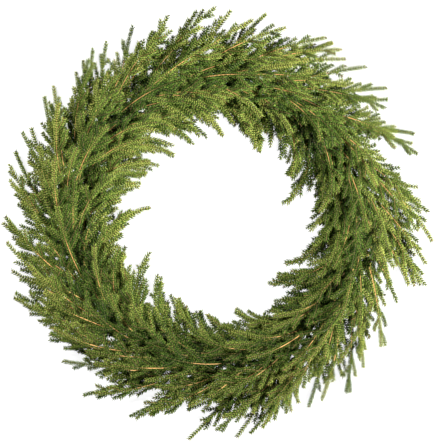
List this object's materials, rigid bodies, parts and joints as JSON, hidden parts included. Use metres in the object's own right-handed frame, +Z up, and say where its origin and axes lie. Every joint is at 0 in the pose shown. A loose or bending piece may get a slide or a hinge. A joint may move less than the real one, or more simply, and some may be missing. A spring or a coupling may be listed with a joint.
{
  "type": "fresh evergreen wreath",
  "caption": "Round wreath of fresh spruce bunches wired on a heavy wire ring, its tips all swept clockwise, lying on its back.",
  "frame": {"origin": "on the surface that the wreath lies on, below the middle of its ring, which is the bottom centre of the whole wreath within a few millimetres", "axes": "+Z up out of the wreath's front, +Y towards its top as it hangs, +X to the right as seen from the front"},
  "size_m": [0.7557, 0.7649, 0.1082],
  "materials": {
    "needles": "fresh green needles with a slight waxy sheen",
    "bark": "thin matt orange-brown bark",
    "ring_steel": "dark green satin paint",
    "binding_wire": "dark green thin coat"
  },
  "bodies": {
    "root": {"ring": "ring_steel", "binding_wire_01": "binding_wire", "binding_wire_02": "binding_wire", "binding_wire_03": "binding_wire", "binding_wire_04": "binding_wire", "binding_wire_05": "binding_wire", "binding_wire_06": "binding_wire", "binding_wire_07": "binding_wire", "binding_wire_08": "binding_wire", "binding_wire_09": "binding_wire", "binding_wire_10": "binding_wire", "bunch_01_sprays": "needles", "bunch_01_stems": "bark", "bunch_02_sprays": "needles", "bunch_02_stems": "bark", "bunch_03_sprays": "needles", "bunch_03_stems": "bark", "bunch_04_sprays": "needles", "bunch_04_stems": "bark", "bunch_05_sprays": "needles", "bunch_05_stems": "bark", "bunch_06_sprays": "needles", "bunch_06_stems": "bark", "bunch_07_sprays": "needles", "bunch_07_stems": "bark", "bunch_08_sprays": "needles", "bunch_08_stems": "bark", "bunch_09_sprays": "needles", "bunch_09_stems": "bark", "bunch_10_sprays": "needles", "bunch_10_stems": "bark", "bunch_11_sprays": "needles", "bunch_11_stems": "bark", "bunch_12_sprays": "needles", "bunch_12_stems": "bark", "bunch_13_sprays": "needles", "bunch_13_stems": "bark", "bunch_14_sprays": "needles", "bunch_14_stems": "bark", "bunch_15_sprays": "needles", "bunch_15_stems": "bark", "bunch_16_sprays": "needles", "bunch_16_stems": "bark", "bunch_17_sprays": "needles", "bunch_17_stems": "bark", "bunch_18_sprays": "needles", "bunch_18_stems": "bark", "bunch_19_sprays": "needles", "bunch_19_stems": "bark", "bunch_20_sprays": "needles", "bunch_20_stems": "bark"}
  },
  "joints": []
}
